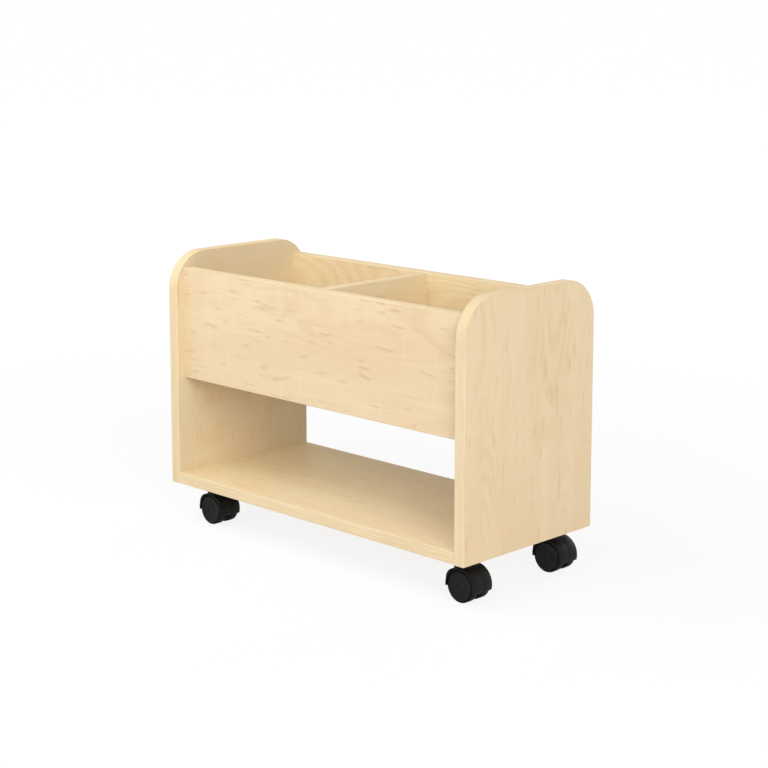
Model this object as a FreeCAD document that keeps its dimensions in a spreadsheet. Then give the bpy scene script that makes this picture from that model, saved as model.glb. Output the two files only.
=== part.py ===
"""Mobile picture book browser bin, as a parametric model in millimetres.

+X runs along the length, +Y towards the back and +Z up. The origin is on the floor, under
the middle of the case. Two side panels carry a bin, in two compartments, over an open shelf,
and four twin-wheel casters with hoods are screwed under the shelf.
"""
import FreeCAD, Part
import os
import Sketcher

TOLERANCE = 1e-4

SIZES = {
    # Case
    "case_length": 660.0,            # outside to outside of the side panels
    "case_depth": 292.0,             # front edge to back edge of the side panels
    "side_height": 390.0,            # side panel, bottom to top
    "corner_radius": 61.5,           # top corners of the side panels
    "board": 19.0,                   # thickness of every board
    "front_inset": 16.0,             # side panel's front edge to the front panel's face
    "back_inset": 12.0,              # side panel's back edge to the back panel's face
    "apron_bottom": 179.5,           # side panel's bottom to the long panels' bottom edges
    "apron_height": 184.5,           # front and back panels, bottom to top
    "floor_rise": 6.0,               # long panels' bottom edges to the bin floor's underside
    "divider_drop": 1.5,             # long panels' top edges to the divider's top edge
    "divider_shift": 0.0,            # middle of the case to the middle of the divider
    "shelf_setback": 0.5,            # side panel's edges to the shelf's edges, front and back
    # Edge bands
    "band": 2.0,                     # thickness of the edge bands
    "band_ease": 1.4,                # radius on their outer long edges
    # Dowels
    "dowel_diameter": 8.0,
    "dowel_length": 30.0,
    "dowel_seat": 12.0,              # length of the dowel in the panel that it crosses into
    "dowel_margin": 32.0,            # board's edge to its outer dowels
    "shelf_dowel_margin": 20.0,      # the same on the shelf, outside the caster screws
    "end_gap": 0.5,                  # free space at the blind end of a hole
    "glue_gap": 0.05,                # radial gap of a glued or pressed fit
    # Casters
    "caster_height": 66.5,           # floor to the shelf's underside
    "swivel_end_inset": 49.0,        # side panel's outer face to the swivel axis
    "swivel_edge_inset": 47.0,       # side panel's front or back edge to the swivel axis
    "trail": 17.3,                   # swivel axis to wheel axis
    "wheel_diameter": 50.0,
    "caster_width": 41.4,            # over both wheels
    "wheel_width": 15.0,
    "tread_thickness": 3.0,
    "face_bevel": 1.2,               # bevel round the wheel's outer face
    "rim_thickness": 2.5,            # wheel core under the tread
    "disc_thickness": 3.0,           # wheel core's outer disc
    "cap_diameter": 15.0,            # shallow round recess in the wheel's outer face
    "cap_depth": 0.6,
    "hub_diameter": 12.0,
    "axle_diameter": 6.0,
    "axle_length": 35.4,
    "running_gap": 0.08,             # radial gap of a pin that turns in its bore
    "side_gap": 0.3,                 # wheel hub to the body's web
    "hood_diameter": 56.0,
    "hood_wall": 2.0,
    "hood_skirt": 5.0,               # how far the hood's leading end reaches below the axle
    "skirt_fall": 3.0,               # how much lower its trailing end reaches
    "hood_round": 1.0,               # radius on the hood's outer edges
    "web": 10.0,                     # caster body between the wheels
    "neck_diameter": 24.0,
    "swivel_gap": 0.4,               # top of the neck to the plate
    "pin_diameter": 8.0,
    "pin_depth": 13.5,               # kingpin's length in the neck
    "pin_head_diameter": 12.0,
    "pin_head_height": 1.5,
    "pin_chamfer": 0.8,              # on the kingpin's lower end
    "ring_drop": 6.0,                # top of the neck to the grip ring
    "ring_thickness": 0.8,
    "ring_inner": 7.2,
    "ring_outer": 9.4,
    "ring_mouth": 3.6,               # opening in the grip ring
    "ring_gap": 0.2,                 # grip ring to the grooves round it
    "plate_side": 42.0,
    "plate_thickness": 2.5,
    "plate_corner": 6.0,
    "hole_pitch": 31.0,              # between the plate's screw holes
    "plate_hole": 4.6,
    "screw_length": 16.0,
    "screw_shank": 3.4,
    "screw_head": 7.5,
    "screw_head_height": 2.4,
    "screw_head_round": 1.1,
}

# The corners of the case, as signs along X and Y.
CORNERS = {
    "front_left": (-1, -1),
    "front_right": (1, -1),
    "rear_left": (-1, 1),
    "rear_right": (1, 1),
}

# Lengths that several pieces share, as expressions on the sheet.
APRON_LENGTH = "(sizes.case_length - 2 * sizes.board)"
LEFT_FACE = "(-sizes.case_length / 2)"
RIGHT_INNER = "(sizes.case_length / 2 - sizes.board)"
LEFT_INNER = "(-sizes.case_length / 2 + sizes.board)"
FRONT_EDGE = "(-sizes.case_depth / 2)"
FRONT_PANEL_Y = "(-sizes.case_depth / 2 + sizes.front_inset)"
BACK_PANEL_Y = "(sizes.case_depth / 2 - sizes.back_inset - sizes.board)"
BIN_FRONT = "(-sizes.case_depth / 2 + sizes.front_inset + sizes.board)"
BIN_DEPTH = "(sizes.case_depth - sizes.front_inset - sizes.back_inset - 2 * sizes.board)"
APRON_Z = "(sizes.caster_height + sizes.apron_bottom)"
FLOOR_Z = "(sizes.apron_bottom + sizes.floor_rise)"
DIVIDER_HEIGHT = "(sizes.apron_height - sizes.floor_rise - sizes.board - sizes.divider_drop)"
DIVIDER_X = "(sizes.divider_shift - sizes.board / 2)"
SHELF_DEPTH = "(sizes.case_depth - 2 * sizes.shelf_setback)"
HOLE_DIAMETER = "(sizes.dowel_diameter + 2 * sizes.glue_gap)"
END_HOLE_DEPTH = "(sizes.dowel_length - sizes.dowel_seat + sizes.end_gap)"
SEAT_HOLE_DEPTH = "(sizes.dowel_seat + sizes.end_gap)"
AXLE_Z = "(sizes.wheel_diameter / 2)"
HALF_WEB = "(sizes.web / 2)"
NECK_TOP = "(sizes.caster_height - sizes.plate_thickness - sizes.swivel_gap)"
RING_TOP = "(sizes.caster_height - sizes.plate_thickness - sizes.swivel_gap - sizes.ring_drop)"
PLATE_UNDER = "(sizes.caster_height - sizes.plate_thickness)"
CASTER_X = "(sizes.case_length / 2 - sizes.swivel_end_inset)"
CASTER_Y = "(sizes.case_depth / 2 - sizes.swivel_edge_inset)"
CAVITY_RADIUS = "(sizes.hood_diameter / 2 - sizes.hood_wall)"

DOC = FreeCAD.newDocument("book_browser_bin")


def make_sheet():
    """The spreadsheet that holds every driving size under its own name."""
    sheet = DOC.addObject("Spreadsheet::Sheet", "sizes")
    for row, (alias, size) in enumerate(SIZES.items(), 1):
        sheet.set(f"A{row}", alias)
        sheet.set(f"B{row}", str(size))
        sheet.setAlias(f"B{row}", alias)
    DOC.recompute()
    return sheet


SHEET = make_sheet()


def value(expression):
    """What an expression on the sheet comes to."""
    return float(SHEET.evalExpression(expression))


def new_body(label, place):
    """A body whose own origin stands at place, three expressions."""
    body = DOC.addObject("PartDesign::Body", label)
    body.Label = label
    for axis, expression in zip("xyz", place):
        body.setExpression("Placement.Base." + axis, expression)
    return body


def new_sketch(body, role, lift):
    """An empty sketch on one of the body's origin planes, lifted along its normal."""
    sketch = body.newObject("Sketcher::SketchObject", body.Label + "_sketch")
    plane = next(item for item in body.Origin.OriginFeatures if item.Role == role)
    sketch.AttachmentSupport = [(plane, "")]
    sketch.MapMode = "FlatFace"
    sketch.setExpression("AttachmentOffset.Base.z", lift)
    return sketch


def fix_point(sketch, geometry, end, place):
    """Tie one point of a sketch to its place, two expressions, from the sketch's origin."""
    for kind, axis, expression in zip(("DistanceX", "DistanceY"), (-2, -1), place):
        if expression == "0":
            sketch.addConstraint(Sketcher.Constraint("PointOnObject", geometry, end, axis))
            continue
        distance = Sketcher.Constraint(kind, -1, 1, geometry, end, value(expression))
        index = sketch.addConstraint(distance)
        sketch.setExpression(f"Constraints[{index}]", expression)


def draw_outline(body, role, points, lift="0"):
    """A closed outline through points, each a pair of expressions."""
    sketch = new_sketch(body, role, lift)
    places = [FreeCAD.Vector(value(u), value(v), 0) for u, v in points]
    for start, end in zip(places, places[1:] + places[:1]):
        sketch.addGeometry(Part.LineSegment(start, end))
    for index, point in enumerate(points):
        following = (index + 1) % len(points)
        sketch.addConstraint(Sketcher.Constraint("Coincident", index, 2, following, 1))
        fix_point(sketch, index, 1, point)
    return sketch


def draw_box(body, role, low, high, lift="0"):
    """A rectangle between two opposite corners, each a pair of expressions."""
    (left, bottom), (right, top) = low, high
    return draw_outline(body, role, [(left, bottom), (right, bottom), (right, top), (left, top)],
                        lift)


def draw_circles(body, role, centres, diameters, lift="0"):
    """A circle of each diameter about each centre, all of them tied to the sheet."""
    sketch = new_sketch(body, role, lift)
    for centre in centres:
        middle = FreeCAD.Vector(value(centre[0]), value(centre[1]), 0)
        for diameter in diameters:
            circle = Part.Circle(middle, FreeCAD.Vector(0, 0, 1), value(diameter) / 2)
            geometry = sketch.addGeometry(circle)
            size = Sketcher.Constraint("Diameter", geometry, value(diameter))
            index = sketch.addConstraint(size)
            sketch.setExpression(f"Constraints[{index}]", diameter)
            fix_point(sketch, geometry, 3, centre)
    return sketch


def extrude(body, kind, sketch, length, both_ways=False, back=False):
    """A Pad or Pocket of a sketch, along its normal, against it, or half each way."""
    feature = body.newObject("PartDesign::" + kind, f"{body.Label}_{kind.lower()}")
    feature.Profile = sketch
    feature.setExpression("Length", length)
    feature.SideType = "Symmetric" if both_ways else "One side"
    feature.Reversed = back
    return feature


def turn(body, kind, sketch, axis):
    """A Revolution or Groove of a sketch, once round about one of the sketch's own axes."""
    feature = body.newObject("PartDesign::" + kind, f"{body.Label}_{kind.lower()}")
    feature.Profile = sketch
    feature.ReferenceAxis = (sketch, [axis])
    feature.Angle = 360
    return feature


def near(edge, **planes):
    """Whether an edge lies wholly in each of the planes given, such as z=390."""
    box = edge.BoundBox
    spans = {"x": (box.XMin, box.XMax), "y": (box.YMin, box.YMax), "z": (box.ZMin, box.ZMax)}
    return all(abs(end - place) < TOLERANCE for axis, place in planes.items() for end in spans[axis])


def is_circle(edge, diameter):
    """Whether an edge is an arc or circle of a diameter given as an expression."""
    curve = edge.Curve
    return isinstance(curve, Part.Circle) and abs(2 * curve.Radius - value(diameter)) < TOLERANCE


def round_edges(body, radius, picks):
    """A fillet on the edges of the body's last feature that picks accepts."""
    DOC.recompute()
    base = body.Tip
    names = [f"Edge{number}" for number, edge in enumerate(base.Shape.Edges, 1) if picks(edge)]
    fillet = body.newObject("PartDesign::Fillet", body.Label + "_fillet")
    fillet.Base = (base, names)
    fillet.setExpression("Radius", radius)
    return fillet


# Case ------------------------------------------------------------------------------------

def spread(start, span, count, margin="sizes.dowel_margin"):
    """Places of a row of dowels along span, the outer ones a margin from its ends."""
    step = f"(({span}) - 2 * {margin}) / {count - 1}"
    return [f"({start}) + {margin} + {number} * {step}" for number in range(count)]


def shelf_dowel_places(start):
    """Places of the shelf's dowels along its depth, seen from a start behind its front edge."""
    return spread(start, SHELF_DEPTH, 3, "sizes.shelf_dowel_margin")


def side_dowel_centres():
    """Centres of the dowels in a side panel, from its front bottom corner, (back, up)."""
    centres = []
    for face in ("sizes.front_inset", "sizes.case_depth - sizes.back_inset - sizes.board"):
        centres += [(f"{face} + sizes.board / 2", height)
                    for height in spread("sizes.apron_bottom", "sizes.apron_height", 3)]
    centres += [(place, f"{FLOOR_Z} + sizes.board / 2")
                for place in spread("sizes.front_inset + sizes.board", BIN_DEPTH, 3)]
    centres += [(place, "sizes.board / 2") for place in shelf_dowel_places("sizes.shelf_setback")]
    return centres


def make_side(name, place, inner_lift, inwards):
    """A side panel, its band and its dowels; inwards is 1 where the bin lies along +X."""
    band, height, depth = "sizes.band", "sizes.side_height", "sizes.case_depth"
    panel = new_body(name + "_side_panel", (place, FRONT_EDGE, "sizes.caster_height"))
    outline = draw_box(panel, "YZ_Plane", (band, "0"), (f"{depth} - {band}", f"{height} - {band}"))
    extrude(panel, "Pad", outline, "sizes.board")
    top = value(f"{height} - {band}")
    round_edges(panel, f"sizes.corner_radius - {band}",
                lambda edge: near(edge, z=top) and edge.BoundBox.YLength < TOLERANCE)
    centres = side_dowel_centres()
    holes = draw_circles(panel, "YZ_Plane", centres, [HOLE_DIAMETER], inner_lift)
    extrude(panel, "Pocket", holes, SEAT_HOLE_DEPTH, back=inwards < 0)
    make_side_band(name, place)
    dowels = new_body(name + "_dowels", (place, FRONT_EDGE, "sizes.caster_height"))
    lift = f"{inner_lift} - {inwards} * sizes.dowel_seat"
    pins = draw_circles(dowels, "YZ_Plane", centres, ["sizes.dowel_diameter"], lift)
    extrude(dowels, "Pad", pins, "sizes.dowel_length", back=inwards < 0)


def make_side_band(name, place):
    """The edge band round the front, top and back of a side panel, its outer edges eased."""
    band, height, depth = "sizes.band", "sizes.side_height", "sizes.case_depth"
    strip = new_body(name + "_side_band", (place, FRONT_EDGE, "sizes.caster_height"))
    outline = draw_box(strip, "YZ_Plane", ("0", "0"), (depth, height))
    extrude(strip, "Pad", outline, "sizes.board")
    core = draw_box(strip, "YZ_Plane", (band, f"-{band}"),
                    (f"{depth} - {band}", f"{height} - {band}"))
    extrude(strip, "Pocket", core, "3 * sizes.board", both_ways=True)
    inner_top, top = value(f"{height} - {band}"), value(height)
    round_edges(strip, f"sizes.corner_radius - {band}",
                lambda edge: near(edge, z=inner_top) and edge.BoundBox.YLength < TOLERANCE)
    round_edges(strip, "sizes.corner_radius",
                lambda edge: near(edge, z=top) and edge.BoundBox.YLength < TOLERANCE)
    back, thick = value(depth), value("sizes.board")
    outer_diameter = "2 * sizes.corner_radius"
    round_edges(strip, "sizes.band_ease",
                lambda edge: (near(edge, x=0) or near(edge, x=thick)) and edge.Length > thick
                and (near(edge, y=0) or near(edge, y=back) or near(edge, z=top)
                     or is_circle(edge, outer_diameter)))


def make_board(name, place, size, end_dowels, holes=()):
    """A flat board with its low corner at place, drilled in both ends for its dowels.

    size is its length along X, then depth and height. end_dowels are centres in the end
    faces, and holes are further rows as (role, lift, centres, diameter, depth, back).
    """
    length, depth, height = size
    board = new_body(name, place)
    extrude(board, "Pad", draw_box(board, "YZ_Plane", ("0", "0"), (depth, height)), length)
    if end_dowels:
        left = draw_circles(board, "YZ_Plane", end_dowels, [HOLE_DIAMETER])
        extrude(board, "Pocket", left, END_HOLE_DEPTH, back=True)
        right = draw_circles(board, "YZ_Plane", end_dowels, [HOLE_DIAMETER], length)
        extrude(board, "Pocket", right, END_HOLE_DEPTH)
    for role, lift, centres, diameter, depth_in, back in holes:
        sketch = draw_circles(board, role, centres, [diameter], lift)
        extrude(board, "Pocket", sketch, depth_in, back=back)
    return board


def make_strip(name, place, size, outer_face):
    """A straight edge band, its long edges eased on the outer face, such as {"z": height}."""
    length, depth, height = size
    strip = new_body(name, place)
    extrude(strip, "Pad", draw_box(strip, "YZ_Plane", ("0", "0"), (depth, height)), length)
    planes = {axis: value(expression) for axis, expression in outer_face.items()}
    thick = value("sizes.board")
    round_edges(strip, "sizes.band_ease",
                lambda edge: near(edge, **planes) and edge.Length > thick + TOLERANCE)


def make_aprons():
    """The front and back panels of the bin, each banded along its top and bottom edges."""
    core_height = "(sizes.apron_height - 2 * sizes.band)"
    heights = spread("-sizes.band", "sizes.apron_height", 3)
    ends = [("sizes.board / 2", height) for height in heights]
    across = [(f"sizes.case_length / 2 - sizes.board + sizes.divider_shift", f"{up} - sizes.band")
              for up in divider_dowel_heights()]
    rows = {
        "front_panel": (FRONT_PANEL_Y, "-sizes.board", True),
        "back_panel": (BACK_PANEL_Y, "0", False),
    }
    for name, (front, lift, back) in rows.items():
        core = (LEFT_INNER, front, f"{APRON_Z} + sizes.band")
        hole_row = ("XZ_Plane", lift, across, HOLE_DIAMETER, SEAT_HOLE_DEPTH, back)
        make_board(name, core, (APRON_LENGTH, "sizes.board", core_height), ends, [hole_row])
        strip = (APRON_LENGTH, "sizes.board", "sizes.band")
        make_strip(name + "_bottom_band", (LEFT_INNER, front, APRON_Z), strip, {"z": "0"})
        top = f"{APRON_Z} + sizes.apron_height - sizes.band"
        make_strip(name + "_top_band", (LEFT_INNER, front, top), strip, {"z": "sizes.band"})


def divider_dowel_heights():
    """Heights of the divider's dowels, from the bottom edges of the long panels."""
    return spread("sizes.floor_rise + sizes.board", DIVIDER_HEIGHT, 2)


def make_divider():
    """The divider, its top band, and the dowels at its front and back ends."""
    base = f"{APRON_Z} + sizes.floor_rise + sizes.board"
    core_height = f"({DIVIDER_HEIGHT} - sizes.band)"
    centres = [("sizes.board / 2", f"{up} - sizes.floor_rise - sizes.board")
               for up in divider_dowel_heights()]
    front_holes = ("XZ_Plane", "0", centres, HOLE_DIAMETER, END_HOLE_DEPTH, False)
    back_holes = ("XZ_Plane", f"-{BIN_DEPTH}", centres, HOLE_DIAMETER, END_HOLE_DEPTH, True)
    place = (DIVIDER_X, BIN_FRONT, base)
    make_board("divider", place, ("sizes.board", BIN_DEPTH, core_height), [],
               [front_holes, back_holes])
    make_strip("divider_top_band", (DIVIDER_X, BIN_FRONT, f"{base} + {core_height}"),
               ("sizes.board", BIN_DEPTH, "sizes.band"), {"z": "sizes.band"})
    dowels = new_body("divider_dowels", place)
    front = draw_circles(dowels, "XZ_Plane", centres, ["sizes.dowel_diameter"],
                         "sizes.dowel_seat")
    extrude(dowels, "Pad", front, "sizes.dowel_length", back=True)
    back = draw_circles(dowels, "XZ_Plane", centres, ["sizes.dowel_diameter"],
                        f"-({BIN_DEPTH} + sizes.dowel_seat)")
    extrude(dowels, "Pad", back, "sizes.dowel_length")


def make_bin_floor():
    """The bottom of the two compartments, between the long panels."""
    centres = [(along, "sizes.board / 2") for along in spread("0", BIN_DEPTH, 3)]
    make_board("bin_floor", (LEFT_INNER, BIN_FRONT, f"sizes.caster_height + {FLOOR_Z}"),
               (APRON_LENGTH, BIN_DEPTH, "sizes.board"), centres)


def screw_centres(origin_x="0", origin_y="0"):
    """Centres of all the caster screws, seen from a point of the case given from its middle."""
    return [(f"{sx} * {CASTER_X} + {hx} * sizes.hole_pitch / 2 - ({origin_x})",
             f"{sy} * {CASTER_Y} + {hy} * sizes.hole_pitch / 2 - ({origin_y})")
            for sx, sy in CORNERS.values() for hx in (-1, 1) for hy in (-1, 1)]


def make_shelf():
    """The bottom shelf with its bands, and the pilot holes of the caster screws."""
    core_depth = f"({SHELF_DEPTH} - 2 * sizes.band)"
    core_front = f"({FRONT_EDGE} + sizes.shelf_setback + sizes.band)"
    centres = [(along, "sizes.board / 2") for along in shelf_dowel_places("-sizes.band")]
    pilot_depth = "sizes.screw_length - sizes.plate_thickness + sizes.end_gap"
    pilots = ("XY_Plane", "0", screw_centres(LEFT_INNER, core_front),
              "sizes.screw_shank + 2 * sizes.glue_gap", pilot_depth, True)
    make_board("bottom_shelf", (LEFT_INNER, core_front, "sizes.caster_height"),
               (APRON_LENGTH, core_depth, "sizes.board"), centres, [pilots])
    strip = (APRON_LENGTH, "sizes.band", "sizes.board")
    make_strip("shelf_front_band",
               (LEFT_INNER, f"{FRONT_EDGE} + sizes.shelf_setback", "sizes.caster_height"),
               strip, {"y": "0"})
    make_strip("shelf_back_band",
               (LEFT_INNER, f"{core_front} + {core_depth}", "sizes.caster_height"),
               strip, {"y": "sizes.band"})


# Casters ---------------------------------------------------------------------------------
# Each is drawn about its swivel axis, with z = 0 on the floor and its wheels towards +X.

def make_plate(corner, place):
    """The steel mounting plate, with its screw holes and the seat of the kingpin's head."""
    plate = new_body(corner + "_caster_plate", place)
    half = "sizes.plate_side / 2"
    square = draw_box(plate, "XY_Plane", (f"-{half}", f"-{half}"), (half, half), PLATE_UNDER)
    extrude(plate, "Pad", square, "sizes.plate_thickness")
    round_edges(plate, "sizes.plate_corner", lambda edge: edge.BoundBox.ZLength > TOLERANCE)
    pitch = "sizes.hole_pitch / 2"
    centres = [(f"{hx} * {pitch}", f"{hy} * {pitch}") for hx in (-1, 1) for hy in (-1, 1)]
    holes = draw_circles(plate, "XY_Plane", centres, ["sizes.plate_hole"], PLATE_UNDER)
    extrude(plate, "Pocket", holes, "sizes.plate_thickness", back=True)
    gap, head, pin = "sizes.glue_gap", "sizes.pin_head_diameter / 2", "sizes.pin_diameter / 2"
    neck = "sizes.caster_height - sizes.pin_head_height"
    seat = draw_outline(plate, "XZ_Plane", [
        ("0", PLATE_UNDER), (f"{pin} + {gap}", PLATE_UNDER), (f"{pin} + {gap}", neck),
        (f"{head} + {gap}", "sizes.caster_height"), ("0", "sizes.caster_height")])
    turn(plate, "Groove", seat, "V_Axis")


def make_kingpin(corner, place):
    """The swivel pin: a flush countersunk head, a groove for the grip ring, a chamfered end."""
    pin_body = new_body(corner + "_kingpin", place)
    head, pin = "sizes.pin_head_diameter / 2", "sizes.pin_diameter / 2"
    bottom = f"{NECK_TOP} - sizes.pin_depth"
    groove = "sizes.ring_inner / 2 - sizes.ring_gap"
    groove_top = f"{RING_TOP} + sizes.ring_gap"
    groove_bottom = f"{RING_TOP} - sizes.ring_thickness - sizes.ring_gap"
    turn(pin_body, "Revolution", draw_outline(pin_body, "XZ_Plane", [
        ("0", bottom), (f"{pin} - sizes.pin_chamfer", bottom),
        (pin, f"{bottom} + sizes.pin_chamfer"),
        (pin, groove_bottom), (groove, groove_bottom), (groove, groove_top), (pin, groove_top),
        (pin, "sizes.caster_height - sizes.pin_head_height"), (head, "sizes.caster_height"),
        ("0", "sizes.caster_height")]), "V_Axis")


def make_caster_body(corner, place):
    """The moulded body: a hood over both wheels, a web between them and the swivel neck."""
    body = new_body(corner + "_caster_body", place)
    axle = [("sizes.trail", AXLE_Z)]
    drum = draw_circles(body, "XZ_Plane", axle, ["sizes.hood_diameter"])
    extrude(body, "Pad", drum, "sizes.caster_width", both_ways=True)
    round_edges(body, "sizes.hood_round", lambda edge: is_circle(edge, "sizes.hood_diameter"))
    # The skirt falls evenly over the hood's diameter; the cut reaches half of one further.
    reach, skirt = "sizes.hood_diameter", f"{AXLE_Z} - sizes.hood_skirt"
    below = draw_outline(body, "XZ_Plane", [
        (f"sizes.trail - {reach}", f"{AXLE_Z} - {reach}"),
        (f"sizes.trail + {reach}", f"{AXLE_Z} - {reach}"),
        (f"sizes.trail + {reach}", f"{skirt} - 1.5 * sizes.skirt_fall"),
        (f"sizes.trail - {reach}", f"{skirt} + 0.5 * sizes.skirt_fall")])
    extrude(body, "Pocket", below, "2 * sizes.caster_width", both_ways=True)
    neck = draw_circles(body, "XY_Plane", [("0", "0")], ["sizes.neck_diameter"], AXLE_Z)
    extrude(body, "Pad", neck, f"{NECK_TOP} - {AXLE_Z}")
    for lift, back in ((HALF_WEB, True), (f"-{HALF_WEB}", False)):
        cavity = draw_circles(body, "XZ_Plane", axle, [f"2 * {CAVITY_RADIUS}"], lift)
        extrude(body, "Pocket", cavity, "sizes.caster_width", back=back)
    make_body_bores(body, axle)


def make_body_bores(body, axle):
    """The kingpin's bore with its ring groove, and the pressed hole of the axle."""
    bore = draw_circles(body, "XY_Plane", [("0", "0")],
                        ["sizes.pin_diameter + 2 * sizes.running_gap"], NECK_TOP)
    extrude(body, "Pocket", bore, "sizes.pin_depth + sizes.end_gap")
    outer = "sizes.ring_outer / 2 + sizes.ring_gap"
    bottom = f"{RING_TOP} - sizes.ring_thickness - sizes.ring_gap"
    groove = draw_box(body, "XZ_Plane", ("0", bottom), (outer, f"{RING_TOP} + sizes.ring_gap"))
    turn(body, "Groove", groove, "V_Axis")
    hole = draw_circles(body, "XZ_Plane", axle, ["sizes.axle_diameter + 2 * sizes.glue_gap"])
    extrude(body, "Pocket", hole, "2 * sizes.web", both_ways=True)


def make_axle(corner, place):
    """The plain steel axle, pressed through the web."""
    axle = new_body(corner + "_axle", place)
    circle = draw_circles(axle, "XZ_Plane", [("sizes.trail", AXLE_Z)], ["sizes.axle_diameter"])
    extrude(axle, "Pad", circle, "sizes.axle_length", both_ways=True)


def make_wheel(corner, place, name, side):
    """One wheel about its own axis: a moulded core, hollow towards the web, and its tread.

    side is -1 for the front wheel and 1 for the rear one.
    """
    x, y, _ = place
    centre = (f"{x} + sizes.trail", y, AXLE_Z)
    outer = f"{side} * sizes.caster_width / 2"
    rim_inner = f"{side} * (sizes.caster_width / 2 - sizes.wheel_width)"
    hub_inner = f"{side} * ({HALF_WEB} + sizes.side_gap)"
    disc_inner = f"{side} * (sizes.caster_width / 2 - sizes.disc_thickness)"
    bevel = f"{side} * (sizes.caster_width / 2 - sizes.face_bevel)"
    bore_end = f"{side} * (sizes.axle_length / 2 + sizes.end_gap)"
    cap_face = f"{side} * (sizes.caster_width / 2 - sizes.cap_depth)"
    core_radius = "(sizes.wheel_diameter / 2 - sizes.tread_thickness)"
    rim_radius = f"({core_radius} - sizes.rim_thickness)"
    bore_radius = "(sizes.axle_diameter / 2 + sizes.running_gap)"
    core = new_body(f"{corner}_{name}_wheel_core", centre)
    turn(core, "Revolution", draw_outline(core, "YZ_Plane", [
        (hub_inner, bore_radius), (hub_inner, "sizes.hub_diameter / 2"),
        (disc_inner, "sizes.hub_diameter / 2"), (disc_inner, rim_radius),
        (rim_inner, rim_radius), (rim_inner, core_radius), (bevel, core_radius),
        (outer, f"{core_radius} - sizes.face_bevel"), (outer, "sizes.cap_diameter / 2"),
        (cap_face, "sizes.cap_diameter / 2 - sizes.cap_depth"), (cap_face, "0"),
        (bore_end, "0"), (bore_end, bore_radius)]), "H_Axis")
    tread = new_body(f"{corner}_{name}_wheel_tread", centre)
    ring = draw_box(tread, "YZ_Plane", (rim_inner, core_radius),
                    (bevel, "sizes.wheel_diameter / 2"))
    turn(tread, "Revolution", ring, "H_Axis")
    round_edges(tread, "sizes.face_bevel", lambda edge: is_circle(edge, "sizes.wheel_diameter"))


def make_casters():
    """The four casters, piece by piece, at the corners of the shelf."""
    for corner, (sx, sy) in CORNERS.items():
        place = (f"{sx} * {CASTER_X}", f"{sy} * {CASTER_Y}", "0")
        make_plate(corner, place)
        make_kingpin(corner, place)
        make_caster_body(corner, place)
        make_axle(corner, place)
        make_wheel(corner, place, "front", -1)
        make_wheel(corner, place, "rear", 1)


def make_screws():
    """All the caster screws: round heads under the plates, shanks up into the shelf."""
    screws = new_body("caster_screws", ("0", "0", PLATE_UNDER))
    centres = screw_centres()
    heads = draw_circles(screws, "XY_Plane", centres, ["sizes.screw_head"],
                         "-sizes.screw_head_height")
    extrude(screws, "Pad", heads, "sizes.screw_head_height")
    low = value("-sizes.screw_head_height")
    round_edges(screws, "sizes.screw_head_round", lambda edge: near(edge, z=low))
    shanks = draw_circles(screws, "XY_Plane", centres, ["sizes.screw_shank"])
    extrude(screws, "Pad", shanks, "sizes.screw_length")


def make_rings():
    """The open grip rings in the kingpins' grooves."""
    rings = new_body("kingpin_rings", ("0", "0", RING_TOP))
    centres = [(f"{sx} * {CASTER_X}", f"{sy} * {CASTER_Y}") for sx, sy in CORNERS.values()]
    flat = draw_circles(rings, "XY_Plane", centres, ["sizes.ring_outer", "sizes.ring_inner"])
    extrude(rings, "Pad", flat, "sizes.ring_thickness", back=True)
    for x, y in centres:
        opening = draw_box(rings, "XY_Plane", (x, f"{y} - sizes.ring_mouth / 2"),
                           (f"{x} + sizes.ring_outer", f"{y} + sizes.ring_mouth / 2"))
        extrude(rings, "Pocket", opening, "2 * sizes.ring_thickness", both_ways=True)


# Checks and files ------------------------------------------------------------------------

def check_document():
    """Stop if a feature failed, a cut removed nothing, or a sub-part has no sound solid."""
    for item in DOC.Objects:
        if "Invalid" in item.State or "Error" in item.State:
            raise RuntimeError(f"{item.Label} failed: {item.State}")
        if item.TypeId in ("PartDesign::Pocket", "PartDesign::Groove"):
            if item.BaseFeature.Shape.Volume - item.Shape.Volume < TOLERANCE:
                raise RuntimeError(item.Label + " cuts nothing")
    for body in bodies():
        if body.Shape.isNull() or not body.Shape.isValid() or not body.Shape.Solids:
            raise RuntimeError(body.Label + " has no sound shape")


def bodies():
    """Every sub-part of the document."""
    return [item for item in DOC.Objects if item.TypeId == "PartDesign::Body"]


def main():
    """Build the whole bin and write one STEP file for each sub-part."""
    make_side("left", LEFT_FACE, "sizes.board", 1)
    make_side("right", RIGHT_INNER, "0", -1)
    make_aprons()
    make_divider()
    make_bin_floor()
    make_shelf()
    make_casters()
    make_screws()
    make_rings()
    DOC.recompute()
    check_document()
    os.makedirs("parts", exist_ok=True)
    for body in bodies():
        body.Shape.exportStep(f"parts/{body.Label}.step")
        print(f"{body.Label}: {len(body.Shape.Solids)} solids, {body.Shape.Volume:.0f} mm3")


main()
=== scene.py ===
"""Dresses a mobile picture book browser bin: a maple laminate case on four hooded casters.

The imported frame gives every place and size. +X runs along the length, +Y towards the back
and +Z up. A name that ends in _mm holds millimetres, and all other lengths are metres.
"""
from __future__ import annotations

import logging
import math
from contextlib import contextmanager
from dataclasses import dataclass, field, replace
from enum import Enum
from typing import Any, Callable, Iterator, Mapping, Sequence

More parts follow.
